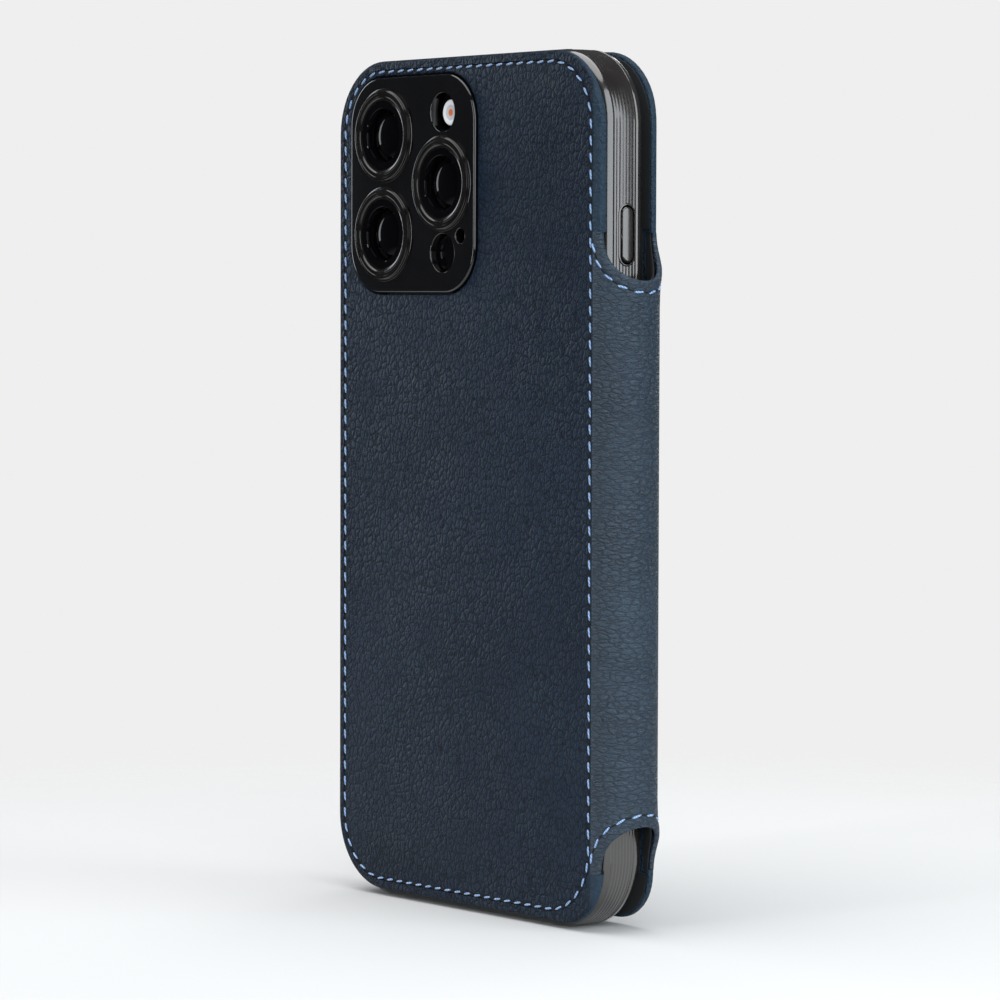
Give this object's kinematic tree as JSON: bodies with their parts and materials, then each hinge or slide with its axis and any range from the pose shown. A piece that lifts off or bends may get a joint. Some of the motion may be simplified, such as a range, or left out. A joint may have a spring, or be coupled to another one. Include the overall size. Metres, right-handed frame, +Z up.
{
  "type": "phone wallet case",
  "caption": "Folding leather wallet case: a moulded phone shell with a camera plate, a leather back, a half-round spine and a front flap with card pockets.",
  "frame": {"origin": "centre of the bounding box's foot: the foot of the moulded shell stands on z = 0", "axes": "+Z up along the case's height, -Y out of the camera side, +Y out of the front flap, +X towards the folding spine"},
  "size_m": [0.0862, 0.0156, 0.1632],
  "materials": {
    "navy_leather": "pebbled grain, semi-matt, navy blue",
    "dark_lining": "brushed microfibre, near black",
    "stiff_board": "plain pressed board",
    "seam_thread": "waxed twisted thread, light blue",
    "gloss_black": "high gloss black",
    "dark_glass": "polished dark glass",
    "frosted_window": "frosted white",
    "smoke_shell": "glossy smoked grey-brown with fine ribs along the sides"
  },
  "bodies": {
    "case": {"phone_shell": "smoke_shell", "camera_plate": "gloss_black", "lens_ring_upper": "gloss_black", "lens_ring_lower": "gloss_black", "lens_ring_side": "gloss_black", "lens_cover_upper": "dark_glass", "lens_cover_lower": "dark_glass", "lens_cover_side": "dark_glass", "flash_window": "frosted_window", "sensor_window": "dark_glass", "back_leather": "navy_leather", "back_board": "stiff_board", "back_lining": "dark_lining", "back_seam_thread": "seam_thread"},
    "spine_rear": {"spine_leather_rear": "navy_leather", "spine_lining_rear": "dark_lining", "upper_notch_thread_rear": "seam_thread", "lower_notch_thread_rear": "seam_thread"},
    "spine_middle": {"spine_leather_middle": "navy_leather", "spine_lining_middle": "dark_lining", "upper_notch_thread_middle": "seam_thread", "lower_notch_thread_middle": "seam_thread"},
    "spine_front": {"spine_leather_front": "navy_leather", "spine_lining_front": "dark_lining", "upper_notch_thread_front": "seam_thread", "lower_notch_thread_front": "seam_thread"},
    "front_flap": {"flap_leather": "navy_leather", "flap_board": "stiff_board", "flap_lining": "dark_lining", "flap_seam_thread": "seam_thread", "card_pocket_tall": "navy_leather", "card_pocket_middle": "navy_leather", "card_pocket_short": "navy_leather", "pocket_seam_thread": "seam_thread"},
    "mute_key": {"mute_button": "smoke_shell"},
    "volume_up_key": {"volume_up_button": "smoke_shell"},
    "volume_down_key": {"volume_down_button": "smoke_shell"},
    "side_key": {"side_button": "smoke_shell"}
  },
  "joints": [
    {"name": "spine_hinge_case", "type": "hinge", "parent": "case", "child": "spine_rear", "pos_m": [0.03667, -0.00573, 0.07], "axis": [0, 0, -1], "range_deg": [0, 60], "stiffness_Nm_per_rad": 0.0004},
    {"name": "spine_hinge_rear", "type": "hinge", "parent": "spine_rear", "child": "spine_middle", "pos_m": [0.0421, -0.00259, 0.07], "axis": [0, 0, -1], "range_deg": [0, 120], "stiffness_Nm_per_rad": 0.0002},
    {"name": "spine_hinge_front", "type": "hinge", "parent": "spine_middle", "child": "spine_front", "pos_m": [0.0421, 0.00369, 0.07], "axis": [0, 0, -1], "range_deg": [0, 120], "stiffness_Nm_per_rad": 0.0002},
    {"name": "flap_hinge", "type": "hinge", "parent": "spine_front", "child": "front_flap", "pos_m": [0.03667, 0.00683, 0.07], "axis": [0, 0, -1], "range_deg": [0, 60], "stiffness_Nm_per_rad": 0.0004},
    {"name": "mute_press", "type": "slide", "parent": "case", "child": "mute_key", "axis": [-1, 0, 0], "range_m": [0, 0.0005], "stiffness_N_per_m": 1500},
    {"name": "volume_up_press", "type": "slide", "parent": "case", "child": "volume_up_key", "axis": [-1, 0, 0], "range_m": [0, 0.0005], "stiffness_N_per_m": 1500},
    {"name": "volume_down_press", "type": "slide", "parent": "case", "child": "volume_down_key", "axis": [-1, 0, 0], "range_m": [0, 0.0005], "stiffness_N_per_m": 1500},
    {"name": "side_press", "type": "slide", "parent": "case", "child": "side_key", "axis": [1, 0, 0], "range_m": [0, 0.0005], "stiffness_N_per_m": 1500}
  ]
}
